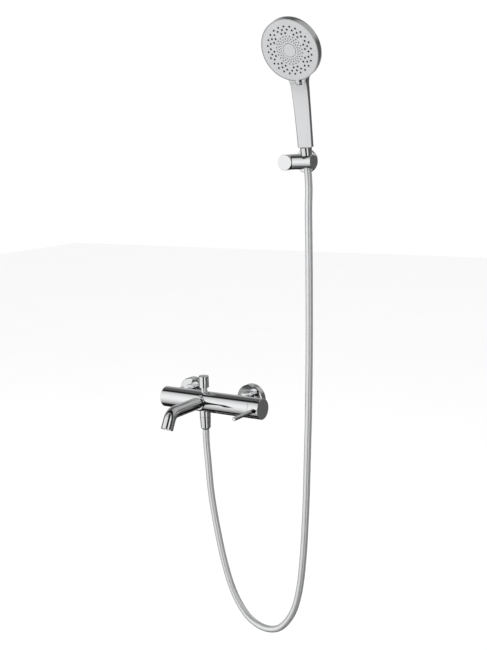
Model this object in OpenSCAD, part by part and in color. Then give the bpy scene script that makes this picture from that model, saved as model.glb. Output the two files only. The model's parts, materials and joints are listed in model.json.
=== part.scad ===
// Wall mounted bath mixer with spout, pull diverter, hose, hand shower and wall bracket.
// X runs right along the wall, the wall face is Y = 0 with the room on -Y, Z is up.
// The origin is the middle of the two wall inlets. Units are millimetres.

/* [Mixer] */
// Diameter of the round mixer body
body_d = 43; // [40:0.5:52]
// Centre distance of the two wall inlets
inlet_spacing = 150; // [140:1:160]
// Distance from the wall to the body's axis
body_standoff = 70; // [66:1:85]
// Length of the body left of the inlet middle
body_left = 101; // [98:1:120]
// Length of the body right of the inlet middle
body_right = 119.5; // [112:0.5:140]
// Length of the turning handle cap
cap_length = 23.5; // [22:0.5:32]
// Diameter of the cylindrical wall flanges
flange_d = 61; // [54:1:72]
// Depth of the wall flanges
flange_depth = 16; // [10:1:20]

/* [Lever] */
// Diameter of the lever pin
lever_d = 8; // [6:0.5:9]
// Reach of the lever tip from the body's axis
lever_reach = 88.5; // [60:0.5:110]

/* [Spout] */
// Outside diameter of the spout
spout_d = 25; // [22:0.5:28]
// Straight length of the spout, from the body's axis to the bend
spout_straight = 100; // [70:1:160]
// Radius of the spout's bend, at the middle of the pipe
spout_bend_r = 22; // [20:1:40]
// Angle of the spout's bend
spout_bend_angle = 62; // [45:1:80]
// Straight length after the bend
spout_tail = 20; // [16:1:30]

/* [Diverter] */
// Diameter of the diverter knob
knob_d = 21; // [18:0.5:26]
// Height of the diverter knob
knob_height = 24.5; // [18:0.5:32]
// Upward travel of the diverter knob
knob_travel = 10; // [6:0.5:10]

/* [Wall bracket] */
// Bracket post position to the right of the inlet middle
bracket_x = 220.5; // [200:0.5:300]
// Bracket post height above the inlets
bracket_z = 486.5; // [450:0.5:700]
// Diameter of the bracket's wall plate
plate_d = 46; // [40:1:60]
// Diameter of the bracket's post
post_d = 29; // [26:0.5:34]
// Length of the post from the wall to its front face
post_length = 84; // [80:1:95]
// Diameter of the bracket's side arm
arm_d = 27; // [26:0.5:30]
// Reach of the side arm from the post's axis
arm_reach = 54; // [52:0.5:60]
// Forward lean of the socket
socket_tilt = 7; // [0:1:12]

/* [Hand shower] */
// Diameter of the spray face
face_d = 112; // [100:1:130]
// Distance from the socket to the middle of the spray face, along the handle
face_height = 203.5; // [190:0.1:230]
// Distance of the face's middle in front of the handle's axis
face_forward = 26.4; // [24:0.1:32]
// Tilt of the spray face against the handle
face_tilt = 17; // [12:1:22]
// Thickness of the head behind the face
head_thickness = 16; // [14:0.5:22]

/* [Hose] */
// Outside diameter of the hose
hose_d = 14; // [12:0.5:15]

/* [Hidden] */
$fn = 96;
chrome = [0.78, 0.79, 0.80];
brass = [0.80, 0.66, 0.36];
steel = [0.66, 0.67, 0.68];
satin_grey = [0.70, 0.71, 0.72];
dark_rubber = [0.10, 0.10, 0.11];
white_plastic = [0.88, 0.88, 0.87];
ceramic_white = [0.93, 0.92, 0.90];

// clearances
running_gap = 0.05;      // shaft in a bearing bore
turning_gap = 0.5;       // between the fixed body and the turning cap
seat_gap = 0.3;          // between the cone nut and the socket liner
thread_gap = 0.1;        // between mating threads

// mixer, derived
body_r = body_d / 2;
body_y = -body_standoff;
inlet_x = inlet_spacing / 2;
cap_left = body_right + turning_gap;
cap_right = body_right + turning_gap + cap_length;
cap_wall = 2.5;
lever_r = lever_d / 2;
lever_pivot_x = cap_right - 10.3;
lever_pivot_out = 10.5;  // lever pivot in front of the body's axis
lever_swing = 15;        // largest tilt of the lever
pivot_pin_r = 2;

// cartridge, derived from the right end of the body
cartridge_r = 17.5;
cartridge_start = body_right - 35.5;
cartridge_end = body_right - 7.5;
stem_r = 7;
drive_r = 6;
port_back = 11;          // hot and cold galleries behind the axis
port_side = 6;           // and above or below it
gallery_r = 2.2;
port_bore_r = 2.6;       // bores from the inlets to the galleries
plug_seat_r = 17;        // left end plug in its seat
mix_front = 9;           // mixed water gallery in front of the axis

// inlets
pipe_thread_r = 10.48;   // G1/2 male thread
union_thread_r = 13;     // G3/4 male thread
water_r = 7;
tail_collar_r = 12.6;    // collar of the body's tail, and its washer
union_nut_front = body_y + body_r + 2;
union_nut_length = 16;
union_nut_flats = 30;
tail_end = body_y + body_r + 10;
washer_t = 2;

// diverter and outlet
chamber_r = 8;
bush_r = 7;
neck_r = 6.6;
neck_top = body_r + 8;
rod_r = 2.5;
knob_bottom = neck_top + 0.5;
plug_z = -13;
plug_t = 4;
bush_bottom = 12.5;
outlet_r = 11.5;
outlet_collar = 9.5;     // height of the outlet's collar below the body
outlet_bottom = -body_r - outlet_collar;
outlet_bore_r = 6.5;
outlet_spigot_r = 9;

// cone nuts on the hose ends
nut_taper = 1.15;        // loss of radius over the cone
nut_cone = 24;           // length of the cone
nut_lip = 3.1;           // length of the chamfer to the hose
lower_nut_r = 11.5;
upper_nut_r = 11.2;
nut_thread = 8;
nut_throat_r = 6.6;
nut_mouth = 0.4;         // lower nut below the outlet's collar
ferrule_t = 1.6;         // flange of the hose tail
outlet_thread = nut_mouth + nut_thread;
hose_gap = 0.3;          // end of the hose below the nut's throat
hose_r = hose_d / 2;

// spout
spout_r = spout_d / 2;
spout_wall = 2.5;
aerator_wall = 1.4;
nipple_r = 8.5;
nipple_bore_r = 6;
pipe_step = 0.02;        // shoulder at each end of the bend
spout_rise = 2;          // spout axis above the body's axis
collar_r = 14.4;
collar_out = 24.5;       // front of the root collar from the body's axis

// bracket
plate_r = plate_d / 2;
plate_t = 6;
post_r = post_d / 2;
post_wall = 2.5;
arm_r = arm_d / 2;
arm_reveal = 1.4;        // neck ring showing between the post and the arm
arm_bolt_r = 2.6;
screw_r = 2;
screw_offset = 6.5;      // wall screws above and below the post's axis
socket_inset = 13.6;     // socket's axis from the end of the arm
arm_y = -69.5;
socket_x = bracket_x + arm_reach - socket_inset;
socket_hole_r = 11.4;
liner_wall = 0.8;
hose_slot = 16;          // opening for the hose on the wall side of the socket

// hand shower, in a frame at the socket with Z along the handle and -Y to the front
nut_top = 27.2;          // top of the upper cone nut above the socket's middle
handle_bottom = 27.6;
handle_neck = 140;
handle_socket_r = 6.5;   // plain socket in the handle's foot for the threaded tail
handle_socket = 14;      // and its depth
duct_r = 3.6;
face_r = face_d / 2;
trim_r = face_r + 1.6;
tab_w = 6.2;
tab_reach = 8.5;         // tab below the edge of the face
tab_swing = 6;           // turn of the spray face
nozzle_r = 1.7;          // outer rubber nozzles at their roots

function nut_r(top_r, down) = top_r - nut_taper * down / nut_cone;

// ---------- helpers ----------

module along_x(x0, x1, r, y = body_y, z = 0) {
    translate([x0, y, z])
        rotate([0, 90, 0])
            cylinder(r = r, h = x1 - x0);
}

module along_y(y0, y1, r, x = 0, z = 0) {
    translate([x, y1, z])
        rotate([90, 0, 0])
            cylinder(r = r, h = y1 - y0);
}

module along_z(z0, z1, r, x = 0, y = 0) {
    translate([x, y, z0])
        cylinder(r = r, h = z1 - z0);
}

module ring(r_out, r_in, z0, z1) {
    difference() {
        along_z(z0, z1, r_out);
        along_z(z0 - 1, z1 + 1, r_in);
    }
}

// the frame of the bracket's socket
module at_socket() {
    translate([socket_x, arm_y, bracket_z])
        rotate([socket_tilt, 0, 0])
            children();
}

// the frame of the spray face, Z out of the face and Y up in it
module at_face() {
    at_socket()
        translate([0, -face_forward, face_height])
            rotate([90 + face_tilt, 0, 0])
                children();
}

// ---------- mixer body and inlets ----------

module mixer_body() {
    color(chrome)
    difference() {
        union() {
            translate([-body_left, body_y, 0])
                rotate([0, 90, 0])
                    rotate_extrude()
                        polygon([[0, 0], [body_r - 1, 0], [body_r, 1],
                            [body_r, body_left + body_right], [0, body_left + body_right]]);
            for (side = [-1, 1])
                translate([side * inlet_x, 0, 0])
                    inlet_tail();
        }
        for (side = [-1, 1])
            along_y(body_y + body_r - 3.5, tail_end + 1, water_r, side * inlet_x);
        // hot water gallery from the left inlet, cold water gallery from the right one
        along_y(body_y + port_back - 1, body_y + body_r - 3, port_bore_r, -inlet_x, port_side - 2);
        along_x(-inlet_x - 4, cartridge_start + 1, gallery_r, body_y + port_back, port_side);
        along_y(body_y + port_back - 1, body_y + body_r - 3, port_bore_r, inlet_x, -port_side + 2);
        along_x(inlet_x - 4, cartridge_start + 1, gallery_r, body_y + port_back, -port_side);
        // mixed water gallery to the diverter
        along_x(2, cartridge_start + 1, 3, body_y - mix_front + 3);
        // cartridge seat and nut seat
        along_x(cartridge_start, body_right + 1, cartridge_r + thread_gap);
        along_x(cartridge_end, body_right + 1, cartridge_r + 1 + thread_gap);
        // left end seat
        along_x(-body_left - 1, -body_left + 4.5, plug_seat_r);
        // diverter chamber, bush seat, shower outlet and spout port
        along_z(-15, 15, chamber_r, 0, body_y);
        along_z(10, body_r + 1, bush_r, 0, body_y);
        along_z(-body_r - 1, -14, outlet_spigot_r, 0, body_y);
        along_y(body_y - body_r - 1, body_y - chamber_r - 1.5, nipple_r, 0, spout_rise);
        along_y(body_y - body_r, body_y, nipple_bore_r, 0, spout_rise);
    }
}

// short threaded neck with the collar that the union nut pulls on
module inlet_tail() {
    along_y(body_y + body_r - 4, tail_end, 10.8);
    along_y(tail_end - 3, tail_end, tail_collar_r);
}

module left_end_plug() {
    color(chrome)
    along_x(-body_left + 0.4, -body_left + 4.5, plug_seat_r);
}

module union_nuts() {
    color(chrome)
    for (side = [-1, 1])
        translate([side * inlet_x, union_nut_front + union_nut_length, 0])
            rotate([90, 0, 0])
                difference() {
                    intersection() {
                        cylinder(d = union_nut_flats / cos(30), h = union_nut_length, $fn = 6);
                        rotate_extrude()
                            polygon([[0, 0], [15.6, 0], [17.6, 1.6], [17.6, union_nut_length - 1.6],
                                [15.6, union_nut_length], [0, union_nut_length]]);
                    }
                    translate([0, 0, -1])
                        cylinder(r = union_thread_r + thread_gap, h = union_nut_length - 2);
                    cylinder(r = 11.1, h = union_nut_length + 1);
                }
}

module inlet_washers() {
    color(dark_rubber)
    for (side = [-1, 1])
        difference() {
            along_y(tail_end, tail_end + washer_t, tail_collar_r, side * inlet_x);
            along_y(tail_end - 1, tail_end + washer_t + 1, water_r, side * inlet_x);
        }
}

module inlet_filters() {
    color(steel)
    for (side = [-1, 1])
        translate([side * inlet_x, tail_end + washer_t + 5, 0])
            rotate([90, 0, 0])
                difference() {
                    cylinder(r = water_r, h = 5);
                    translate([0, 0, 1.2])
                        cylinder(r = water_r - 1.2, h = 5);
                    for (turn = [0:60:300])
                        rotate(turn)
                            translate([3.6, 0, -1])
                                cylinder(r = 1.1, h = 4);
                }
}

module inlet_connectors() {
    color(chrome)
    for (side = [-1, 1])
        translate([side * inlet_x, 0, 0])
            difference() {
                union() {
                    along_y(tail_end + washer_t, -4, union_thread_r);
                    along_y(-5, 22, pipe_thread_r);
                }
                along_y(tail_end, tail_end + washer_t + 8, water_r);
                along_y(tail_end, 23, water_r - 1);
            }
}

module wall_flanges() {
    flange_r = flange_d / 2;
    bore_r = union_thread_r + thread_gap;
    color(chrome)
    for (side = [-1, 1])
        translate([side * inlet_x, 0, 0])
            rotate([90, 0, 0])
                rotate_extrude()
                    polygon([[bore_r, flange_depth - 3], [bore_r, flange_depth + 1],
                        [16, flange_depth + 1], [17, flange_depth], [flange_r - 1.5, flange_depth],
                        [flange_r, flange_depth - 1.5], [flange_r, 0], [flange_r - 1.5, 0],
                        [flange_r - 1.5, flange_depth - 1.5], [bore_r + 2, flange_depth - 1.5],
                        [bore_r + 2, flange_depth - 3]]);
}

// ---------- cartridge ----------

module cartridge_body() {
    color(white_plastic)
    difference() {
        along_x(cartridge_start + 1, cartridge_end, cartridge_r);
        along_x(cartridge_start + 6, cartridge_end - 8, 15.2);
        along_x(cartridge_start + 10, cartridge_end + 1, stem_r + running_gap);
        cartridge_ports(cartridge_start, cartridge_start + 7);
    }
}

module cartridge_ports(x0, x1) {
    for (side = [-1, 1])
        along_x(x0, x1, gallery_r, body_y + port_back, side * port_side);
    along_x(x0, x1, 2.8, body_y - mix_front + 3);
}

module cartridge_seal() {
    color(dark_rubber)
    difference() {
        along_x(cartridge_start, cartridge_start + 1, 16.5);
        cartridge_ports(cartridge_start - 1, cartridge_start + 2);
    }
}

module fixed_ceramic_disc() {
    color(ceramic_white)
    difference() {
        along_x(cartridge_start + 6, cartridge_start + 9, 15);
        cartridge_ports(cartridge_start + 5, cartridge_start + 10);
    }
}

module moving_ceramic_disc() {
    color(ceramic_white)
    difference() {
        along_x(cartridge_start + 9.05, cartridge_start + 12.5, 13);
        translate([cartridge_start + 9, body_y, 0])
            rotate([0, 90, 0])
                linear_extrude(2)
                    square([9, 18], center = true);
    }
}

module cartridge_stem() {
    color(brass)
    union() {
        along_x(cartridge_start + 12.5, cartridge_end - 8.5, 13);
        along_x(cartridge_end - 9, cartridge_end + 1, stem_r);
        along_x(cartridge_end, cap_left + 6.5, drive_r);
    }
}

module cartridge_nut() {
    color(brass)
    difference() {
        along_x(cartridge_end, body_right - 1.2, cartridge_r + 1);
        along_x(cartridge_end - 1, body_right, stem_r + 1.5);
        for (turn = [0:90:270])
            translate([body_right - 3, body_y, 0])
                rotate([turn, 0, 0])
                    translate([0, -1.5, 14])
                        cube([4, 3, 6]);
    }
}

// ---------- handle ----------

module handle_cap() {
    color(chrome)
    difference() {
        union() {
            difference() {
                translate([cap_left, body_y, 0])
                    rotate([0, 90, 0])
                        rotate_extrude()
                            polygon([[0, 0], [body_r, 0], [body_r, cap_length - 0.5],
                                [body_r - 0.5, cap_length], [0, cap_length]]);
                along_x(cap_left - 1, cap_right - cap_wall, body_r - cap_wall);
            }
            cap_hub();
            for (side = [-1, 1])
                cap_ear(side);
        }
        along_x(cap_left - 1, cap_left + 6.5, drive_r);
        // slot that the lever swings in
        lever_slot();
        along_z(-body_r, body_r, pivot_pin_r, lever_pivot_x, body_y - lever_pivot_out);
        along_z(-body_r - 1, 0, 2, cap_left + 4, body_y);
    }
}

module cap_hub() {
    along_x(cap_left + 0.5, cap_left + 7.5, 9.5);
    along_x(cap_left + 5, cap_left + 7.5, body_r - cap_wall + 0.5);
}

module cap_ear(side) {
    intersection() {
        translate([lever_pivot_x - 4.5, body_y - lever_pivot_out - 4, side > 0 ? 5.2 : -25.2])
            cube([9, 8, 20]);
        along_x(cap_left, cap_right, body_r - 1);
    }
}

module lever_slot() {
    slot_r = lever_r + 0.35;
    run = (body_r - lever_pivot_out) * tan(lever_swing) + 0.3;
    translate([lever_pivot_x, body_y - lever_pivot_out, 0])
        rotate([90, 0, 0])
            linear_extrude(body_r) {
                circle(slot_r);
                translate([run, 0])
                    circle(slot_r);
                translate([0, -slot_r])
                    square([run, 2 * slot_r]);
            }
}

module lever_pivot_pin() {
    color(steel)
    along_z(-12, 12, pivot_pin_r, lever_pivot_x, body_y - lever_pivot_out);
}

module lever_pin() {
    shaft = lever_reach - lever_pivot_out;
    color(chrome)
    difference() {
        union() {
            translate([lever_pivot_x, body_y - lever_pivot_out, 0])
                rotate([90, 0, 0])
                    rotate_extrude()
                        polygon([[0, 0], [lever_r, 0], [lever_r, shaft - 0.6],
                            [lever_r - 0.6, shaft], [0, shaft]]);
            along_z(-5, 5, 4.6, lever_pivot_x, body_y - lever_pivot_out);
        }
        along_z(-6, 6, pivot_pin_r + running_gap, lever_pivot_x, body_y - lever_pivot_out);
    }
}

module cap_grub_screw() {
    color(steel)
    difference() {
        along_z(-17, -drive_r, 2, cap_left + 4, body_y);
        translate([cap_left + 4, body_y, -18])
            cylinder(r = 1.1, h = 3, $fn = 6);
    }
}

// ---------- diverter ----------

module diverter_bush() {
    color(chrome)
    translate([0, body_y, 0])
        difference() {
            union() {
                along_z(bush_bottom, body_r, bush_r);
                along_z(body_r - 1, neck_top, neck_r);
            }
            along_z(bush_bottom - 1, neck_top + 1, rod_r + running_gap);
        }
}

module diverter_knob() {
    color(chrome)
    translate([0, body_y, knob_bottom])
        difference() {
            rotate_extrude()
                polygon([[0, 0], [knob_d / 2 - 0.5, 0], [knob_d / 2, 0.5], [knob_d / 2, knob_height - 1],
                    [knob_d / 2 - 1, knob_height], [0, knob_height]]);
            along_z(-1, 14, rod_r);
        }
}

module diverter_rod() {
    color(steel)
    along_z(plug_z + plug_t, knob_bottom + 14, rod_r, 0, body_y);
}

module diverter_plug() {
    color(brass)
    translate([0, body_y, plug_z])
        rotate_extrude()
            difference() {
                square([7.6, plug_t]);
                translate([7.6, plug_t / 2])
                    circle(1);
            }
}

module diverter_seal() {
    color(dark_rubber)
    translate([0, body_y, plug_z + plug_t / 2])
        rotate_extrude()
            intersection() {
                translate([7.6, 0])
                    circle(1);
                square([7.7, 2], center = false);
            }
}

// a round wire wound between the plug and the bush
spring_turns = 5;
spring_r = 5;
spring_wire = 0.7;
spring_low = plug_z + plug_t + spring_wire;
spring_high = bush_bottom - spring_wire;
spring_path = [for (i = [0:spring_turns * 16])
    [spring_r * cos(i * 22.5), body_y + spring_r * sin(i * 22.5),
        spring_low + (spring_high - spring_low) * i / (spring_turns * 16)]];

module diverter_spring() {
    color(steel)
    swept_tube(spring_path, spring_wire, 8, [0, 0, 1]);
}

module shower_outlet() {
    color(chrome)
    translate([0, body_y, 0])
        difference() {
            union() {
                difference() {
                    along_z(outlet_bottom, -10, outlet_r);
                    along_x(-20, 20, body_r, 0);
                }
                along_z(-body_r - 1, -15, outlet_spigot_r);
                along_z(outlet_bottom - outlet_thread, outlet_bottom + 1, pipe_thread_r);
            }
            along_z(outlet_bottom - outlet_thread - 1, -14, outlet_bore_r);
        }
}

module outlet_check_valve() {
    color(white_plastic)
    translate([0, body_y, outlet_bottom - outlet_thread])
        difference() {
            along_z(0, 12, outlet_bore_r);
            along_z(-1, 8, 4.6);
            for (turn = [0:90:270])
                rotate(turn)
                    along_z(7, 13, 1.3, 2.8, 0);
        }
}

// ---------- spout ----------

module spout() {
    bore_r = spout_r - spout_wall;
    color(chrome) {
        difference() {
            along_y(body_y - spout_straight, body_y - 10, spout_r, 0, spout_rise);
            along_y(body_y - spout_straight - 1, body_y - collar_out, bore_r, 0, spout_rise);
            along_y(body_y - collar_out - 1, body_y, nipple_r, 0, spout_rise);
            along_x(-40, 40, body_r);
        }
        spout_bend_start()
            rotate_extrude(angle = spout_bend_angle)
                translate([spout_bend_r, 0])
                    difference() {
                        circle(spout_r - pipe_step);
                        circle(bore_r + pipe_step);
                    }
        spout_bend_start()
            translate([spout_bend_r, 0, 0])
                rotate([90, 0, 0])
                    difference() {
                        cylinder(r = spout_r - 2 * pipe_step, h = spout_tail);
                        translate([0, 0, -1])
                            cylinder(r = bore_r + 2 * pipe_step, h = spout_tail + 2);
                    }
    }
}

// the frame of the bend, turned so that it starts at the tail
module spout_bend_start() {
    translate([0, body_y - spout_straight, spout_rise - spout_bend_r])
        rotate([90, 0, -90])
            rotate([0, 0, 90 - spout_bend_angle])
                children();
}

// the frame of the spout's tip, Z pointing back into the pipe
module spout_tip() {
    spout_bend_start()
        translate([spout_bend_r, -spout_tail, 0])
            rotate([-90, 0, 0])
                children();
}

module spout_nipple() {
    color(brass)
    difference() {
        along_y(body_y - collar_out, body_y - chamber_r - 1.5, nipple_r, 0, spout_rise);
        along_y(body_y - collar_out - 1, body_y, nipple_bore_r, 0, spout_rise);
    }
}

module spout_collar() {
    color(chrome)
    difference() {
        along_y(body_y - collar_out, body_y - 10, collar_r, 0, spout_rise);
        along_y(body_y - collar_out - 1, body_y, spout_r, 0, spout_rise);
        along_x(-40, 40, body_r);
    }
}

module aerator_housing() {
    color(chrome)
    spout_tip()
        ring(spout_r - spout_wall, spout_r - spout_wall - aerator_wall, 0.5, 12);
}

module aerator_insert() {
    insert_r = spout_r - spout_wall - aerator_wall;
    color(white_plastic)
    spout_tip()
        translate([0, 0, 1.5])
            difference() {
                cylinder(r = insert_r, h = 8);
                for (lane = [1:3])
                    for (i = [0:lane * 6 - 1])
                        rotate(i * 60 / lane)
                            translate([lane * insert_r / 3.8, 0, -1])
                                cylinder(r = 0.75, h = 10, $fn = 6);
            }
}

// ---------- wall bracket ----------

module bracket_wall_plate() {
    color(chrome)
    translate([bracket_x, 0, bracket_z])
        rotate([90, 0, 0])
            rotate_extrude()
                polygon([[post_r - post_wall, 0], [plate_r, 0], [plate_r, plate_t - 1],
                    [plate_r - 1, plate_t], [post_r - post_wall, plate_t]]);
}

module bracket_base() {
    color(steel)
    difference() {
        along_y(-16, 0, post_r - post_wall, bracket_x, bracket_z);
        for (side = [-1, 1]) {
            along_y(-17, 1, screw_r + 0.2, bracket_x, bracket_z + side * screw_offset);
            along_y(-17, -6, 4.2, bracket_x, bracket_z + side * screw_offset);
        }
    }
}

module wall_screws() {
    color(steel)
    for (side = [-1, 1])
        difference() {
            union() {
                along_y(-9, -6, 4, bracket_x, bracket_z + side * screw_offset);
                along_y(-7, 32, screw_r, bracket_x, bracket_z + side * screw_offset);
            }
            translate([bracket_x - 2.5, -10, bracket_z + side * screw_offset - 0.5])
                cube([5, 2.2, 1]);
        }
}

module wall_plugs() {
    color(white_plastic)
    for (side = [-1, 1])
        difference() {
            along_y(0.5, 35, 3.1, bracket_x, bracket_z + side * screw_offset);
            along_y(-1, 32, screw_r, bracket_x, bracket_z + side * screw_offset);
        }
}

module bracket_post() {
    color(chrome)
    difference() {
        along_y(-post_length + 2.5, -plate_t, post_r, bracket_x, bracket_z);
        along_y(-post_length, 0, post_r - post_wall, bracket_x, bracket_z);
        along_x(bracket_x, bracket_x + 30, arm_bolt_r, arm_y, bracket_z);
        along_z(bracket_z - 20, bracket_z, 2, bracket_x, -11);
    }
}

module bracket_grub_screw() {
    color(steel)
    along_z(bracket_z - post_r + 0.8, bracket_z - post_r + post_wall, 2, bracket_x, -11);
}

module bracket_front_cap() {
    color(chrome)
    translate([bracket_x, -post_length + 2.5, bracket_z])
        rotate([90, 0, 0])
            difference() {
                rotate_extrude()
                    polygon([[0, -4], [post_r - post_wall, -4], [post_r - post_wall, 0], [post_r, 0],
                        [post_r, 2], [post_r - 0.5, 2.5], [0, 2.5]]);
                translate([0, 0, -5])
                    cylinder(r = post_r - post_wall - 2, h = 5);
            }
}

module arm_neck_ring() {
    color(steel)
    difference() {
        along_x(bracket_x, bracket_x + post_r + 1.5, arm_r - 1.2, arm_y, bracket_z);
        along_y(-post_length, 0, post_r, bracket_x, bracket_z);
        along_x(bracket_x, bracket_x + 30, arm_bolt_r, arm_y, bracket_z);
        difference() {
            along_x(bracket_x, bracket_x + post_r + 2, arm_r + 5, arm_y, bracket_z);
            along_y(-post_length, 0, post_r + arm_reveal, bracket_x, bracket_z);
        }
    }
}

module bracket_arm() {
    color(chrome)
    difference() {
        along_x(bracket_x + 1, bracket_x + arm_reach - 2, arm_r, arm_y, bracket_z);
        along_y(-post_length - 20, 20, post_r + arm_reveal, bracket_x, bracket_z);
        along_x(bracket_x, bracket_x + 30, arm_bolt_r, arm_y, bracket_z);
        at_socket() {
            along_z(-30, 30, socket_hole_r);
            translate([-hose_slot / 2, 0, -30])
                cube([hose_slot, 30, 60]);
        }
    }
}

module bracket_arm_cap() {
    color(chrome)
    translate([bracket_x + arm_reach - 2, arm_y, bracket_z])
        rotate([0, 90, 0])
            rotate_extrude()
                polygon([[0, 0], [arm_r, 0], [arm_r, 1.6], [arm_r - 0.4, 2], [0, 2]]);
}

module arm_bolt() {
    color(steel)
    difference() {
        union() {
            along_x(bracket_x + 6, bracket_x + 28, arm_bolt_r, arm_y, bracket_z);
            intersection() {
                along_x(bracket_x + 6, bracket_x + 13, 5, arm_y, bracket_z);
                along_y(-post_length, 0, post_r - post_wall, bracket_x, bracket_z);
            }
        }
        translate([bracket_x + 5, arm_y, bracket_z])
            rotate([0, 90, 0])
                cylinder(r = 2.2, h = 4, $fn = 6);
    }
}

// plastic cone that the upper hose nut rests in
module socket_liner() {
    top = arm_r - 1;
    color(white_plastic)
    at_socket()
        difference() {
            along_z(-9, top, socket_hole_r);
            rotate_extrude()
                polygon([[0, -10], [hose_r + 1.4, -10], [hose_r + 1.4, nut_top - nut_cone - nut_lip],
                    [nut_r(upper_nut_r, nut_cone) + seat_gap, nut_top - nut_cone],
                    [nut_r(upper_nut_r, nut_top - top - 1) + seat_gap, top + 1], [0, top + 1]]);
            translate([-hose_slot / 2, 0, -30])
                cube([hose_slot, 30, 60]);
        }
}

// ---------- hose and its fittings ----------

// cone nut with its thread at the top, in a frame with Z = 0 at its wide end
module cone_nut(top_r) {
    difference() {
        rotate_extrude()
            polygon([[0, 0], [top_r - 0.4, 0], [top_r, -0.4], [nut_r(top_r, nut_cone), -nut_cone],
                [hose_r + 0.6, -nut_cone - nut_lip], [0, -nut_cone - nut_lip]]);
        along_z(-nut_thread, 1, top_r - 0.8);
        along_z(-nut_thread - washer_t - ferrule_t, 1, nut_r(top_r, nut_cone) - 0.8);
        along_z(-nut_cone - nut_lip - 1, 1, nut_throat_r);
    }
}

module lower_hose_nut() {
    color(chrome)
    translate([0, body_y, outlet_bottom - nut_mouth])
        cone_nut(lower_nut_r);
}

module upper_hose_nut() {
    color(chrome)
    at_socket()
        translate([0, 0, nut_top])
            cone_nut(upper_nut_r);
}

// flanged tail that the hose is crimped on
module hose_ferrule(flange_r) {
    difference() {
        union() {
            along_z(-ferrule_t, 0, flange_r);
            along_z(-nut_cone - nut_lip + nut_thread + 2.5, 0, nut_throat_r - 0.1);
        }
        along_z(-nut_cone, 1, 4.2);
    }
}

module lower_hose_tail() {
    color(brass)
    translate([0, body_y, outlet_bottom - outlet_thread - washer_t])
        hose_ferrule(9.4);
}

module outlet_washer() {
    color(dark_rubber)
    translate([0, body_y, outlet_bottom - outlet_thread - washer_t])
        ring(9.4, 5.5, 0, washer_t);
}

module upper_hose_tail() {
    color(brass)
    at_socket()
        translate([0, 0, nut_top - nut_thread - washer_t])
            hose_ferrule(9.1);
}

module handset_washer() {
    color(dark_rubber)
    at_socket()
        ring(9.1, 5.5, nut_top - nut_thread - washer_t, nut_top - nut_thread);
}

// middle line of the hose, from the lower nut to the upper one
hose_start = [0, body_y, outlet_bottom - nut_mouth - nut_cone - nut_lip - hose_gap];
socket_end = nut_top - nut_cone - nut_lip - hose_gap;
hose_end = [socket_x, arm_y - socket_end * sin(socket_tilt), bracket_z + socket_end * cos(socket_tilt)];
hose_route = [
    [2.4, -70, -133],
    [6.8, -70, -200],
    [18.5, -70, -277],
    [34, -70, -350],
    [54, -70, -408],
    [81, -70, -449],
    [110, -70, -468],
    [141.5, -69.5, -472],
    [171, -69, -459],
    [198.4, -68.5, -422],
    [215.4, -68, -369],
    [226.7, -67.5, -293],
    [235.8, -67, -190],
    [241.6, -66.5, -93],
    [246.8, -66, 0],
    [251.2, -65, 110],
    [254.3, -64, 225],
    [256.2, -63.3, 320],
    [257.2, -62.8, 395]];

// evenly eased points through the route, straight out of each nut
route_all = concat([hose_start, hose_start - [0, 0, 32]], hose_route,
    [hose_end - 45 * [0, -sin(socket_tilt), cos(socket_tilt)] - [0.9, 0, 0], hose_end]);
function eased(a, b, c, d, t) = 0.5 * (2 * b + (c - a) * t + (2 * a - 5 * b + 4 * c - d) * t * t
    + (3 * b - a - 3 * c + d) * t * t * t);
route_last = len(route_all) - 1;
hose_steps = 3;
hose_path = [for (i = [0:route_last - 1], s = [0:hose_steps - 1])
    eased(route_all[max(i - 1, 0)], route_all[i], route_all[i + 1], route_all[min(i + 2, route_last)],
        s / hose_steps)];
hose_line = concat(hose_path, [hose_end]);

// tube of n sides along a line of points; side gives the first direction across it
module swept_tube(path, r, n, side) {
    last = len(path) - 1;
    function along(i) = let (d = path[min(i + 1, last)] - path[max(i - 1, 0)]) d / norm(d);
    function across(i) = let (c = cross(along(i), side)) c / norm(c);
    points = [for (i = [0:last], k = [0:n - 1])
        let (u = across(i), v = cross(along(i), u))
        path[i] + r * (cos(k * 360 / n) * u + sin(k * 360 / n) * v)];
    walls = [for (i = [0:last - 1], k = [0:n - 1])
        [i * n + k, i * n + (k + 1) % n, (i + 1) * n + (k + 1) % n, (i + 1) * n + k]];
    low_end = [[for (k = [0:n - 1]) n - 1 - k]];
    high_end = [[for (k = [0:n - 1]) last * n + k]];
    polyhedron(points = points, faces = concat(walls, low_end, high_end), convexity = 10);
}

module shower_hose() {
    color(steel)
    swept_tube(hose_line, hose_r, 12, [0, 1, 0]);
}

// ---------- hand shower ----------

// outline of the handle and neck seen from the front
module handle_front() {
    bottom_w = 14.7;
    flare = [[17, 0], [17.6, 6], [19, 11], [21.5, 15.5], [25.5, 19.5], [31, 23], [37, 26]];
    half = concat([[bottom_w - 1.5, handle_bottom], [bottom_w, handle_bottom + 1.5]],
        [for (p = flare) [p[0], handle_neck + p[1]]], [[39, face_height]]);
    polygon(concat(half, [for (i = [len(half) - 1:-1:0]) [-half[i][0], half[i][1]]]));
}

// outline of the handle and neck seen from the side, front on the left
module handle_side() {
    polygon([[-8.7, handle_bottom], [8, handle_bottom], [6, handle_neck], [1, handle_neck + 25],
        [-face_forward + head_thickness - 1, face_height], [-face_forward + 4, face_height],
        [-12.9, handle_neck + 21], [-10.5, handle_neck + 11], [-8.6, handle_neck],
        [-7.2, handle_neck - 12], [-6.5, handle_neck - 28], [-6.5, handle_neck - 50], [-7.3, 60]]);
}

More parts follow.
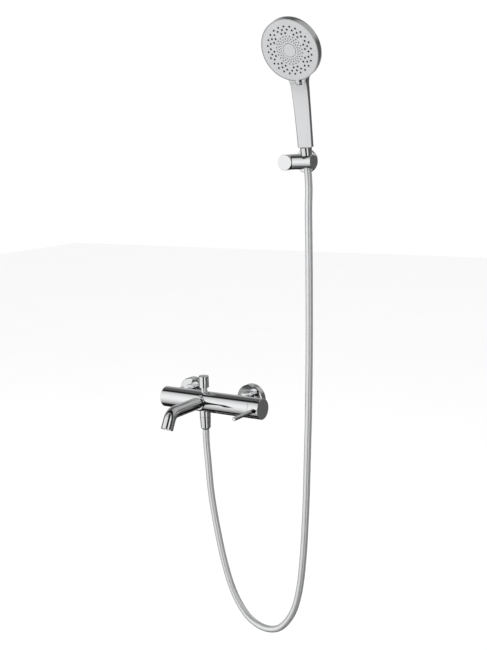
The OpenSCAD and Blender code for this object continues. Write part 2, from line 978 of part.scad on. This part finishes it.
module handle_solid() {
    difference() {
        intersection() {
            rotate([90, 0, 0])
                linear_extrude(80, center = true)
                    handle_front();
            rotate([90, 0, 90])
                linear_extrude(90, center = true)
                    handle_side();
        }
        for (side = [-1, 1]) {
            // long chamfers, front and back
            rotate([0, 0, side * 45])
                translate([-20, -33.1, 10])
                    rotate([0.32, 0, 0])
                        cube([40, 20, 140]);
            rotate([0, 0, side * 45])
                translate([-20, 11.6, 10])
                    rotate([-1.1, 0, 0])
                        cube([40, 20, 140]);
        }
    }
}

module head_solid() {
    rotate_extrude()
        polygon([[0, -head_thickness - 3], [face_r - 26, -head_thickness - 2.4],
            [face_r - 10, -head_thickness - 0.6], [face_r - 3, -head_thickness + 0.6],
            [trim_r - 1.2, -head_thickness + 2], [trim_r, -head_thickness + 3.6], [trim_r, -3.2],
            [0, -3.2]]);
}

// pocket below the face that the selector tab swings in
module tab_pocket() {
    swing_room = (face_r + tab_reach) * sin(tab_swing) + 0.6;
    translate([-tab_w / 2 - 0.5, -face_r - tab_reach - 0.8, -7])
        cube([tab_w + 0.5 + swing_room, tab_reach + 6, 10]);
}

module handset_shell() {
    color(chrome)
    difference() {
        union() {
            at_socket()
                handle_solid();
            at_face()
                head_solid();
        }
        // hollow of the head, and room for the spray face
        at_face() {
            along_z(-head_thickness + 1.5, -3, face_r - 5);
            along_z(-3.3, 20, trim_r + 0.3);
            tab_pocket();
        }
        at_socket() {
            along_z(handle_bottom - 1, handle_bottom + handle_socket, handle_socket_r);
            along_z(handle_bottom + handle_socket - 1, handle_neck + 12, duct_r);
        }
    }
}

module water_duct() {
    color(white_plastic)
    at_socket()
        ring(duct_r, duct_r - 1, handle_bottom + handle_socket, handle_neck - 4);
}

module handset_tail() {
    color(brass)
    at_socket()
        difference() {
            union() {
                along_z(handle_bottom, handle_bottom + handle_socket, handle_socket_r);
                along_z(nut_top - nut_thread, handle_bottom, upper_nut_r - 0.8 - thread_gap);
            }
            along_z(nut_top - nut_thread - 1, handle_bottom + handle_socket + 1, 4.5);
        }
}

module handset_trim_ring() {
    color(chrome)
    at_face()
        difference() {
            ring(trim_r, face_r + 0.1, -3.2, 0.5);
            tab_pocket();
        }
}

module spray_distributor() {
    color(white_plastic)
    at_face()
        difference() {
            along_z(-head_thickness + 3, -3.6, face_r - 5.1);
            along_z(-head_thickness + 4, -6, face_r - 8);
            for (turn = [0:30:330])
                rotate(turn)
                    along_z(-7, 0, 2, face_r * 0.6, 0);
        }
}

// the three outer circles of rubber nozzles; the innermost leaves out every third one
module outer_nozzle_places() {
    for (i = [0:23]) {
        rotate(i * 15)
            translate([0, face_r * 0.785])
                children();
        rotate(i * 15 + 7.5)
            translate([0, face_r * 0.68])
                children();
        if (i % 3 != 2)
            rotate(i * 15)
                translate([0, face_r * 0.57])
                    children();
    }
}

module spray_face() {
    color(satin_grey)
    at_face()
        difference() {
            union() {
                along_z(-3, 0, face_r);
                translate([-tab_w / 2, -face_r - tab_reach, -4.5])
                    cube([tab_w, tab_reach + 3.5, 4.8]);
            }
            along_z(-1.5, 1, face_r * 0.5);
            outer_nozzle_places()
                along_z(-4, 1, nozzle_r, $fn = 24);
        }
}

module rubber_nozzles() {
    color(dark_rubber)
    at_face()
        outer_nozzle_places()
            translate([0, 0, -3])
                cylinder(r1 = nozzle_r, r2 = nozzle_r - 0.15, h = 3.7, $fn = 24);
}

module inner_spray_disc() {
    color(satin_grey)
    at_face()
        ring(face_r * 0.5, face_r * 0.235, -1.5, 0);
}

module fine_nozzles() {
    color(satin_grey)
    at_face()
        for (lane = [0:2])
            for (i = [0:23])
                rotate(i * 15 + lane * 7.5)
                    translate([0, face_r * [0.46, 0.38, 0.31][lane]])
                        cylinder(r1 = 1.2 - 0.12 * lane, r2 = 1 - 0.12 * lane, h = 0.5, $fn = 16);
}

module centre_button() {
    color(satin_grey)
    at_face()
        along_z(-1.5, 0.3, face_r * 0.215);
}

mixer_body();
left_end_plug();
union_nuts();
inlet_washers();
inlet_filters();
inlet_connectors();
wall_flanges();
cartridge_body();
cartridge_seal();
fixed_ceramic_disc();
moving_ceramic_disc();
cartridge_stem();
cartridge_nut();
handle_cap();
lever_pivot_pin();
lever_pin();
cap_grub_screw();
diverter_bush();
diverter_knob();
diverter_rod();
diverter_plug();
diverter_seal();
diverter_spring();
shower_outlet();
outlet_check_valve();
spout();
spout_nipple();
spout_collar();
aerator_housing();
aerator_insert();
bracket_wall_plate();
bracket_base();
wall_screws();
wall_plugs();
bracket_post();
bracket_grub_screw();
bracket_front_cap();
arm_neck_ring();
bracket_arm();
bracket_arm_cap();
arm_bolt();
socket_liner();
lower_hose_nut();
lower_hose_tail();
outlet_washer();
shower_hose();
upper_hose_nut();
upper_hose_tail();
handset_washer();
handset_shell();
water_duct();
handset_tail();
handset_trim_ring();
spray_distributor();
spray_face();
rubber_nozzles();
inner_spray_disc();
fine_nozzles();
centre_button();
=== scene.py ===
import bpy
import bmesh
import json
import math
from mathutils import Matrix, Vector


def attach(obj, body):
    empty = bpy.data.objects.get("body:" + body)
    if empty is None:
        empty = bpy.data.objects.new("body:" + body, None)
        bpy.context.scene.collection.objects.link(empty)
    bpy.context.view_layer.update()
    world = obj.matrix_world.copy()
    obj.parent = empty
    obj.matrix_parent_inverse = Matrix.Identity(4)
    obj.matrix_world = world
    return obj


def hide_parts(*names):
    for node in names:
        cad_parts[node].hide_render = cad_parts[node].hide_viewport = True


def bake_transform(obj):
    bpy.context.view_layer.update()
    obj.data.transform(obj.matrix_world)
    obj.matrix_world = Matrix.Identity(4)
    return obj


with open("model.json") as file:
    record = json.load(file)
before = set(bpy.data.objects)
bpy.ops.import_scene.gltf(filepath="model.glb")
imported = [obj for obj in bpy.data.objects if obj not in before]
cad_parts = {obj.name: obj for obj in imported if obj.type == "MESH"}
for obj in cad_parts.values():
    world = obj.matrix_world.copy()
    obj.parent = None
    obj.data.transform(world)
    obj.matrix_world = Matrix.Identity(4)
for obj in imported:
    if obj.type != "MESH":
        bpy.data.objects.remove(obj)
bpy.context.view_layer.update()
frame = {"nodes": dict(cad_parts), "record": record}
nodes = frame["nodes"]


def clearSelection():
    if bpy.context.object and bpy.context.object.mode != "OBJECT":
        bpy.ops.object.mode_set(mode="OBJECT")
    bpy.ops.object.select_all(action="DESELECT")


def pick(piece):
    clearSelection()
    piece.select_set(True)
    bpy.context.view_layer.objects.active = piece


def openShape(piece):
    pick(piece)
    bpy.ops.object.mode_set(mode="EDIT")
    bpy.ops.mesh.select_all(action="DESELECT")


def closeShape():
    bpy.ops.object.mode_set(mode="OBJECT")


def choose(piece, kind, test):     # kind is "verts", "edges" or "faces"
    bpy.ops.mesh.select_mode(type={"verts": "VERT", "edges": "EDGE", "faces": "FACE"}[kind])
    bpy.ops.mesh.select_all(action="DESELECT")
    shape = bmesh.from_edit_mesh(piece.data)
    chosen = [part for part in getattr(shape, kind) if test(part)]
    for part in chosen:
        part.select_set(True)
    shape.select_flush_mode()
    bmesh.update_edit_mesh(piece.data)


def middle(part):
    return sum((v.co for v in part.verts), Vector()) / len(part.verts)


def applyModifier(piece, kind, **settings):
    pick(piece)
    step = piece.modifiers.new(kind.lower(), kind)
    for name, value in settings.items():
        setattr(step, name, value)
    bpy.ops.object.modifier_apply(modifier=step.name)


def cutWith(piece, tool, operation="DIFFERENCE"):
    applyModifier(piece, "BOOLEAN", object=tool, operation=operation, solver="EXACT")
    pick(tool)
    bpy.ops.object.delete()


def settle(piece, place=None):     # puts the piece's place into its mesh
    pick(piece)
    if place is not None:
        piece.matrix_world = place @ piece.matrix_world
    bpy.ops.object.transform_apply(location=True, rotation=True, scale=True)


def tidyEdges(piece, width, angle=30, segments=2):
    applyModifier(piece, "BEVEL", width=width, segments=segments, limit_method="ANGLE",
                  angle_limit=math.radians(angle), harden_normals=False)
    pick(piece)
    bpy.ops.object.shade_smooth_by_angle(angle=math.radians(38))


class Wire:                        # a node socket that can be used in sums
    def __init__(self, tree, socket):
        self.tree = tree
        self.socket = socket

    def node(self, kind, settings=None, sockets=None, out=0):
        made = self.tree.nodes.new(kind)
        for name, value in (settings or {}).items():
            setattr(made, name, value)
        for key, value in (sockets or {}).items():
            if isinstance(value, Wire):
                self.tree.links.new(value.socket, made.inputs[key])
            else:
                made.inputs[key].default_value = value
        return Wire(self.tree, made.outputs[out])

    def sum(self, operation, first, second=0.0):
        return self.node("ShaderNodeMath", {"operation": operation}, {0: first, 1: second})

    def __add__(self, other):
        return self.sum("ADD", self, other)

    def __sub__(self, other):
        return self.sum("SUBTRACT", self, other)

    def __rsub__(self, other):
        return self.sum("SUBTRACT", other, self)

    def __mul__(self, other):
        return self.sum("MULTIPLY", self, other)

    __radd__ = __add__
    __rmul__ = __mul__

    def fade(self, low, high, atLow=0.0, atHigh=1.0):    # eased from low to high
        return self.node("ShaderNodeMapRange", {"interpolation_type": "SMOOTHSTEP", "clamp": True},
                         {0: self, 1: low, 2: high, 3: atLow, 4: atHigh})

    def atLeast(self, other):
        return self.sum("MAXIMUM", self, other)

    def size(self):
        return self.sum("ABSOLUTE", self)

    def into(self, socket):
        self.tree.links.new(self.socket, socket)


cameraSet = {
    "place": (1.26865, -1.77142, 0.54655),
    "azimuth": 34.376,       # degrees to the right of straight on
    "down": 10.397,
    "roll": -2.187,
    "lens": 58.385,
}


def makeCamera(s):
    turn, dip, roll = (math.radians(s[k]) for k in ("azimuth", "down", "roll"))
    ahead = Vector((-math.sin(turn) * math.cos(dip), math.cos(turn) * math.cos(dip), -math.sin(dip)))
    right = Vector((math.cos(turn), math.sin(turn), 0))
    up = right.cross(ahead)
    rolledRight = right * math.cos(roll) + up * math.sin(roll)
    rolledUp = up * math.cos(roll) - right * math.sin(roll)
    lens = bpy.data.cameras.new("studioCamera")
    lens.lens = s["lens"]
    lens.sensor_width = 36
    lens.clip_end = 50
    camera = bpy.data.objects.new("studioCamera", lens)
    bpy.context.scene.collection.objects.link(camera)
    turned = Matrix((rolledRight, rolledUp, -ahead)).transposed().to_4x4()
    camera.matrix_world = Matrix.Translation(s["place"]) @ turned
    bpy.context.scene.camera = camera


makeCamera(cameraSet)
print("camera placed")


# the hose comes first because it is the longest piece
hose = {
    "radius": 0.007,
    "sides": 24,
    "steps": 6,              # rings between two route points
    "flexStart": (0.055, -0.070, -0.3),
    "flexEnd": (0.236, -0.070, -0.3),
    "start": (0.0, -0.070, -0.0588),
    "end": (0.2609, -0.06948, 0.48630),
    "lean": 7,               # degrees the upper end leans forward
    "straightStart": 0.032,  # straight run out of the lower nut
    "straightEnd": 0.045,    # and into the upper one
    "sideways": 0.0009,
    "route": [
        (0.0024, -0.070, -0.133), (0.0068, -0.070, -0.200), (0.0185, -0.070, -0.277),
        (0.034, -0.070, -0.350), (0.054, -0.070, -0.408), (0.081, -0.070, -0.449),
        (0.110, -0.070, -0.468), (0.1415, -0.0695, -0.472), (0.171, -0.069, -0.459),
        (0.1984, -0.0685, -0.422), (0.2154, -0.068, -0.369), (0.2267, -0.0675, -0.293),
        (0.2358, -0.067, -0.190), (0.2416, -0.0665, -0.093), (0.2468, -0.066, 0.0),
        (0.2512, -0.065, 0.110), (0.2543, -0.064, 0.225), (0.2562, -0.0633, 0.320),
        (0.2572, -0.0628, 0.395)],
}


def easedRoute(s):
    lean = math.radians(s["lean"])
    start, end = Vector(s["start"]), Vector(s["end"])
    upwards = Vector((0, -math.sin(lean), math.cos(lean)))
    outOfNut = end - s["straightEnd"] * upwards - Vector((s["sideways"], 0, 0))
    belowNut = start - Vector((0, 0, s["straightStart"]))
    stops = [start, belowNut] + [Vector(p) for p in s["route"]] + [outOfNut, end]
    line = []
    for i in range(len(stops) - 1):
        a, b = stops[max(i - 1, 0)], stops[i]
        c, d = stops[i + 1], stops[min(i + 2, len(stops) - 1)]
        for k in range(s["steps"]):
            t = k / s["steps"]
            line.append(0.5 * (2 * b + (c - a) * t + (2 * a - 5 * b + 4 * c - d) * t * t
                               + (3 * b - a - 3 * c + d) * t ** 3))
    return line + [end]


def tubeAlong(name, line, radius, sides, across):
    points, faces, marks, run = [], [], [], 0.0
    last = len(line) - 1
    for i, p in enumerate(line):
        ahead = (line[min(i + 1, last)] - line[max(i - 1, 0)]).normalized()
        out = ahead.cross(Vector(across)).normalized()
        side = ahead.cross(out)
        run += (p - line[i - 1]).length if i else 0.0
        marks.append(run)
        for k in range(sides):
            turn = 2 * math.pi * k / sides
            points.append(p + radius * (math.cos(turn) * out + math.sin(turn) * side))
    for i in range(last):
        for k in range(sides):
            n = (k + 1) % sides
            faces.append((i * sides + k, i * sides + n, (i + 1) * sides + n, (i + 1) * sides + k))
    walls = len(faces)
    faces.append(tuple(range(sides - 1, -1, -1)))
    faces.append(tuple(last * sides + k for k in range(sides)))
    mesh = bpy.data.meshes.new(name)
    mesh.from_pydata(points, [], faces)
    wrap = mesh.uv_layers.new(name="UVMap")      # U round the tube, V along it in tube girths
    girth = 2 * math.pi * radius
    for f in mesh.polygons[:walls]:
        i, k = divmod(f.index, sides)
        corners = ((k, i), (k + 1, i), (k + 1, i + 1), (k, i + 1))
        for loop, (round_, ring) in zip(f.loop_indices, corners):
            wrap.data[loop].uv = (round_ / sides, marks[ring] / girth)
        f.use_smooth = True
    piece = bpy.data.objects.new(name, mesh)
    bpy.context.scene.collection.objects.link(piece)
    pick(piece)
    bpy.ops.object.mode_set(mode="EDIT")
    bpy.ops.mesh.select_all(action="SELECT")
    bpy.ops.mesh.normals_make_consistent(inside=False)
    bpy.ops.object.mode_set(mode="OBJECT")
    return piece


def makeHose(s):
    line = easedRoute(s)
    piece = tubeAlong("showerHose", line, s["radius"], s["sides"], (0, 1, 0))
    length = sum((b - a).length for a, b in zip(line, line[1:]))
    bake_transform(piece)
    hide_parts("shower_hose")
    return piece, length


hosePiece, hoseLength = makeHose(hose)
print("hose made, metres long:", round(hoseLength, 3))


socketPlace = Matrix.Translation((0.2609, -0.0695, 0.4865)) @ Matrix.Rotation(math.radians(7), 4, "X")
facePlace = (socketPlace @ Matrix.Translation((0, -0.0264, 0.2035))
             @ Matrix.Rotation(math.radians(107), 4, "X"))          # Z comes out of the spray face
millimetre = 0.001

handset = {
    "foot": 27.6,
    # height, half width, front, back, front chamfer, back chamfer
    "stations": [
        (29.0, 14.7, -8.7, 8.0, 4.9, 4.6), (60, 15.3, -7.3, 7.5, 4.2, 4.0),
        (90, 15.9, -6.5, 7.0, 3.4, 3.4), (112, 16.4, -6.5, 6.5, 2.9, 3.0),
        (128, 16.8, -7.2, 6.2, 2.6, 2.8), (140, 17.1, -8.6, 6.0, 2.5, 2.8),
        (146, 17.8, -9.6, 5.4, 2.5, 2.9), (151, 19.4, -10.6, 4.7, 2.5, 3.0),
        (155.5, 21.8, -11.4, 4.0, 2.5, 3.1), (159.5, 25.4, -12.2, 3.2, 2.5, 3.0),
        (163, 30.6, -13.0, 2.2, 2.4, 2.6), (166, 36.5, -13.8, 1.0, 2.2, 2.2),
        (180, 39, -17, -4, 2.0, 2.0), (200, 39, -21.5, -11.4, 2.0, 2.0)],
    "headRadius": 57.6,
    "rimBack": 12.4,         # straight part of the rim, behind the face
    # the rounded back: step in, step back
    "backSteps": [(0.5, 0.9), (0.9, 0.75), (1.5, 0.7), (2.6, 0.65), (4.5, 0.6),
                  (8.0, 0.75), (12.0, 0.75), (14.0, 0.45)],
    "pocket": (6.2, 8.5, 6.8),      # tab width, tab reach, room for its swing
    "socketRadius": 6.5,     # socket for the threaded tail in the foot
    "edge": 0.35,
}


def setGroup(piece, test, half, y, z):
    # slides the chosen ring points to a half width, a depth and a height
    choose(piece, "verts", test)
    shape = bmesh.from_edit_mesh(piece.data)
    spots = [v.co.copy() for v in shape.verts if v.select]
    now = sum((abs(c.x) for c in spots)) / len(spots)
    depth = sum((c.y for c in spots)) / len(spots)
    height = sum((c.z for c in spots)) / len(spots)
    bpy.ops.transform.resize(value=(half / now, 1, 1), center_override=(0, depth, height))
    bpy.ops.transform.translate(value=(0, y - depth, z - height))


def makeHandset(s):
    foot, first = s["foot"] * millimetre, s["stations"][0]
    half, front, back = (v * millimetre for v in first[1:4])
    clearSelection()
    bpy.ops.mesh.primitive_cube_add(size=1, location=(0, (front + back) / 2, foot + 0.0007),
                                    scale=(2 * half, back - front, 0.0014))
    body = bpy.context.object
    body.name = "handsetBody"
    settle(body)
    openShape(body)
    choose(body, "edges", lambda e: abs(e.verts[0].co.z - e.verts[1].co.z) > 0.001)
    bpy.ops.mesh.bevel(offset=first[4] * millimetre, segments=1, affect="EDGES")
    top = foot + 0.0014
    for z, w, yFront, yBack, cutFront, cutBack in s["stations"]:
        z, w, yFront, yBack = (v * millimetre for v in (z, w, yFront, yBack))
        cutFront, cutBack = cutFront * millimetre, cutBack * millimetre
        if z > top + 0.001:
            choose(body, "faces", lambda f: middle(f).z > top - 0.0002 and f.normal.z > 0.5)
            bpy.ops.mesh.extrude_region_move(TRANSFORM_OT_translate={"value": (0, 0, z - top)})
        shape = bmesh.from_edit_mesh(body.data)
        ring = sorted((v.co.y for v in shape.verts if v.co.z > z - 0.0004))
        low, high = (ring[1] + ring[2]) / 2, (ring[5] + ring[6]) / 2      # between the four pairs
        centre = (ring[3] + ring[4]) / 2
        atTop = [(lambda v, a=a, b=b: v.co.z > z - 0.0004 and a < v.co.y <= b)
                 for a, b in ((-1, low), (low, centre), (centre, high), (high, 1))]
        picks = []
        for test in atTop:
            picks.append({v.index for v in shape.verts if test(v)})
        for chosen, (x, y) in zip(picks, ((w - cutFront, yFront), (w, yFront + cutFront),
                                          (w, yBack - cutBack), (w - cutBack, yBack))):
            setGroup(body, lambda v: v.index in chosen, x, y, z)
        top = z
    closeShape()

    radius, thick = s["headRadius"] * millimetre, s["rimBack"] * millimetre
    clearSelection()
    bpy.ops.mesh.primitive_cylinder_add(vertices=144, radius=radius, depth=thick - 0.0032,
                                        location=(0, 0, -(thick + 0.0032) / 2))
    head = bpy.context.object
    openShape(head)
    choose(head, "faces", lambda f: f.normal.z < -0.9)
    for stepIn, stepBack in s["backSteps"]:
        bpy.ops.mesh.inset(thickness=stepIn * millimetre, depth=stepBack * millimetre)
    closeShape()
    settle(head, socketPlace.inverted() @ facePlace)
    cutWith(body, head, "UNION")

    tabWide, tabReach, swing = (v * millimetre for v in s["pocket"])
    clearSelection()
    bpy.ops.mesh.primitive_cylinder_add(vertices=144, radius=radius + 0.0003, depth=0.0233,
                                        location=(0, 0, 0.02 - 0.01165))
    cutter = bpy.context.object
    settle(cutter, socketPlace.inverted() @ facePlace)
    cutWith(body, cutter)
    wide, deep = tabWide + 0.0005 + swing, tabReach + 0.006
    clearSelection()
    bpy.ops.mesh.primitive_cube_add(size=1, location=(wide / 2 - tabWide / 2 - 0.0005,
                                                      -0.056 - tabReach - 0.0008 + deep / 2, -0.002),
                                    scale=(wide, deep, 0.01))
    cutter = bpy.context.object
    settle(cutter)
    openShape(cutter)
    choose(cutter, "edges", lambda e: abs(e.verts[0].co.z - e.verts[1].co.z) > 0.005 and middle(e).y < -0.06)
    bpy.ops.mesh.bevel(offset=0.0016, segments=5, affect="EDGES")
    closeShape()
    settle(cutter, socketPlace.inverted() @ facePlace)
    cutWith(body, cutter)

    clearSelection()
    bpy.ops.mesh.primitive_cylinder_add(vertices=64, radius=s["socketRadius"] * millimetre, depth=0.04,
                                        location=(0, 0, foot - 0.006))
    bore = bpy.context.object
    openShape(bore)
    choose(bore, "edges", lambda e: abs(middle(e).z - 0.02) < 0.0001)
    bpy.ops.mesh.bevel(offset=0.0006, segments=2, affect="EDGES")
    closeShape()
    settle(bore)
    cutWith(body, bore)
    tidyEdges(body, s["edge"] * millimetre)
    settle(body, socketPlace)
    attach(body, "hand_shower")
    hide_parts("handset_shell")
    return body


handsetPiece = makeHandset(handset)
print("hand shower body made,", len(handsetPiece.data.polygons), "faces")


def newFinish(name, colour, metallic, roughness):
    finish = bpy.data.materials.new(name)
    finish.use_nodes = True
    tree = finish.node_tree
    shader = tree.nodes["Principled BSDF"]
    shader.inputs["Base Color"].default_value = (*colour, 1)
    shader.inputs["Metallic"].default_value = metallic
    shader.inputs["Roughness"].default_value = roughness
    start = Wire(tree, tree.nodes.new("ShaderNodeTexCoord").outputs["Object"])
    return finish, shader, start


def noise(place, scale, detail=3.0, rough=0.5):
    return place.node("ShaderNodeTexNoise", None, {"Vector": place, "Scale": scale, "Detail": detail,
                                                   "Roughness": rough})


def tint(mask, first, second):
    return mask.node("ShaderNodeMix", {"data_type": "RGBA"},
                     {"Factor": mask, 6: (*first, 1), 7: (*second, 1)}, 2)


def bump(height, shader, distance, strength=1.0):
    height.node("ShaderNodeBump", None, {"Height": height, "Distance": distance,
                                         "Strength": strength}).into(shader.inputs["Normal"])


chromeLook = {"colour": (0.87, 0.875, 0.885), "dull": (0.80, 0.81, 0.825), "rough": 0.03, "smudge": 0.025}


def chromeFinish(name, s):
    finish, shader, place = newFinish(name, s["colour"], 1.0, s["rough"])
    smudge = noise(place, 22.0, 4.0, 0.6).fade(0.5, 0.75)          # faint finger and water marks
    film = noise(place, 140.0, 2.0)
    (s["rough"] + smudge * s["smudge"] + film * 0.006).into(shader.inputs["Roughness"])
    tint(smudge * 0.5, s["colour"], s["dull"]).into(shader.inputs["Base Color"])
    bump(noise(place, 120.0, 1.0), shader, 0.0000008)
    return finish


def brushedFinish(name, colour, dark, rough, lines):
    finish, shader, place = newFinish(name, colour, 1.0, rough)
    drawn = place.node("ShaderNodeMapping", None, {"Vector": place, "Scale": (1.0, 1.0, 14.0)})
    grain = noise(drawn, lines, 4.0, 0.6)
    tint(grain, dark, colour).into(shader.inputs["Base Color"])
    (rough + grain * 0.14).into(shader.inputs["Roughness"])
    bump(grain, shader, 0.00003)
    return finish


def mouldedFinish(name, colour, shade, rough, grainSize, depth):
    finish, shader, place = newFinish(name, colour, 0.0, rough)
    broad = noise(place, 35.0, 3.0)
    fine = noise(place, grainSize, 2.0)
    tint(broad * 0.6 + fine * 0.4, shade, colour).into(shader.inputs["Base Color"])
    (rough - 0.05 + fine * 0.1).into(shader.inputs["Roughness"])
    bump(fine, shader, depth)
    return finish


def hoseFinish(name):
    # silver foil thread wound under a clear smooth skin
    finish, shader, place = newFinish(name, (0.8, 0.805, 0.815), 0.7, 0.24)
    wrap = place.node("ShaderNodeUVMap", {"uv_map": "UVMap"})
    wound = wrap.node("ShaderNodeMapping", None, {"Vector": wrap, "Rotation": (0, 0, math.radians(8))})
    strand = wound.node("ShaderNodeTexWave", {"wave_type": "BANDS", "bands_direction": "Y"},
                        {"Vector": wound, "Scale": 9.0, "Distortion": 0.4, "Detail": 2.0}, 1)
    grain = noise(place, 420.0, 2.0)
    silver = tint(strand * 0.8 + grain * 0.2, (0.77, 0.775, 0.785), (0.82, 0.825, 0.835))
    silver.into(shader.inputs["Base Color"])
    (0.22 + strand * 0.04 + grain * 0.02).into(shader.inputs["Roughness"])
    bump(strand, shader, 0.0000008)
    return finish


finishes = {
    "chrome": chromeFinish("polishedChrome", chromeLook),
    "chromed_plastic": chromeFinish("chromedHandset", {**chromeLook, "colour": (0.77, 0.775, 0.785),
                                                       "dull": (0.72, 0.725, 0.74), "rough": 0.05}),
    "brass": brushedFinish("turnedBrass", (0.80, 0.64, 0.32), (0.62, 0.47, 0.20), 0.22, 260.0),
    "steel": brushedFinish("plainSteel", (0.70, 0.71, 0.72), (0.52, 0.53, 0.54), 0.26, 300.0),
    "hose_silver": hoseFinish("silverHose"),
    "rubber": mouldedFinish("nozzleRubber",
                            (0.012, 0.012, 0.013), (0.006, 0.006, 0.007), 0.7, 900.0, 0.00002),
    "white_plastic": mouldedFinish("whitePlastic",
                                   (0.84, 0.84, 0.82), (0.78, 0.78, 0.76), 0.35, 700.0, 0.00001),
    "black_plastic": mouldedFinish("blackPlastic",
                                   (0.032, 0.032, 0.034), (0.02, 0.02, 0.021), 0.4, 800.0, 0.000006),
    "grey_rubber": mouldedFinish("greyRubber",
                                 (0.10, 0.10, 0.105), (0.07, 0.07, 0.075), 0.6, 900.0, 0.000008),
    "ceramic": mouldedFinish("lappedCeramic",
                             (0.90, 0.89, 0.86), (0.86, 0.85, 0.82), 0.18, 500.0, 0.000004),
    "satin_grey": mouldedFinish("satinGrey",
                                (0.57, 0.575, 0.585), (0.545, 0.55, 0.56), 0.34, 1200.0, 0.000003),
}


def dress(piece, finish):
    piece.data.materials.clear()
    piece.data.materials.append(finish)


for part in frame["record"]["subparts"]:
    dress(nodes[part["node"]], finishes[part["material_slot"]])
dress(hosePiece, finishes["hose_silver"])
dress(handsetPiece, finishes["chromed_plastic"])
print("finishes on", len(nodes), "frame nodes")


studio = {
    "floorHeight": -0.62,
    "floorSize": 14.0,
    "keyPower": 20.0,
    "keySize": 1.6,
    "keyPlace": (-0.9, -1.7, 1.9),
    "keyFrom": (-0.9, -1.6, 1.7),    # the way the light comes from
    "frontPeak": 0.98,       # brightness in front of the object
    "backGrey": 0.11,        # and behind it
    "backLeft": 0.30,        # more behind it on the left
    "backTop": 0.34,         # a light patch high on the right, behind
    "standDark": 0.98,
}


def makeFloor(s):
    clearSelection()
    bpy.ops.mesh.primitive_plane_add(size=s["floorSize"], location=(0, 0, s["floorHeight"]))
    floor = bpy.context.object
    floor.name = "studioFloor"
    finish, shader, place = newFinish("paleFloor", (0.97, 0.97, 0.97), 0.0, 0.9)
    shader.inputs["Specular IOR Level"].default_value = 0.0
    tint(noise(place, 3.0), (0.96, 0.96, 0.96), (0.98, 0.98, 0.98)).into(shader.inputs["Base Color"])
    dress(floor, finish)
    floor.visible_glossy = False         # the chrome sees the studio's dark lower half instead


def makeKeyLight(s):
    soft = bpy.data.lights.new("softBox", "AREA")
    soft.shape = "SQUARE"
    soft.size = s["keySize"]
    soft.energy = s["keyPower"]
    lamp = bpy.data.objects.new("softBox", soft)
    bpy.context.scene.collection.objects.link(lamp)
    turned = Vector(s["keyFrom"]).to_track_quat("Z", "Y").to_matrix().to_4x4()
    lamp.matrix_world = Matrix.Translation(s["keyPlace"]) @ turned
    lamp.visible_glossy = False


def makeSurroundings(s):
    # a bright front half, a grey back half that is lighter on the left and high on the right,
    # and dark gaps where the two halves meet
    world = bpy.data.worlds.new("studioTent")
    bpy.context.scene.world = world
    world.use_nodes = True
    tree = world.node_tree
    background = tree.nodes["Background"]
    way = Wire(tree, tree.nodes.new("ShaderNodeTexCoord").outputs["Generated"])
    split = tree.nodes.new("ShaderNodeSeparateXYZ")
    way.into(split.inputs[0])
    x, y, z = (Wire(tree, split.outputs[i]) for i in range(3))
    lift = z - 0.12
    front = s["frontPeak"] - lift * lift * 0.9
    fromStand = (x * 0.88 + y * 0.475).size()            # dark stand beside the camera
    front = front * (1.0 - fromStand.fade(0.36, 0.2) * z.size().fade(0.97, 0.85) * s["standDark"])
    back = s["backGrey"] + x.fade(0.3, -0.5) * z.fade(0.7, 0.4) * s["backLeft"]
    back = back + x.fade(-0.2, 0.15) * z.fade(0.2, 0.5) * s["backTop"]
    back = back * z.fade(-0.28, -0.5, 1.0, 0.05)
    isFront = y.fade(0.02, -0.02)
    tone = front * isFront + back * (1.0 - isFront)
    tone = tone * (0.0 - y).fade(0.17, 0.4, 0.02).atLeast(1.0 - isFront)      # gaps where the halves meet
    tone = tone * y.fade(0.0, 0.14, 0.02).atLeast(isFront)
    light = tree.nodes.new("ShaderNodeLightPath")
    seen = Wire(tree, light.outputs["Is Camera Ray"])
    scattered = Wire(tree, light.outputs["Is Diffuse Ray"])
    (tone * (1.0 - seen) * (1.0 - scattered) + seen + scattered).into(background.inputs["Color"])


makeFloor(studio)
makeKeyLight(studio)
makeSurroundings(studio)
bpy.context.scene.view_settings.view_transform = "Standard"
print("studio ready")
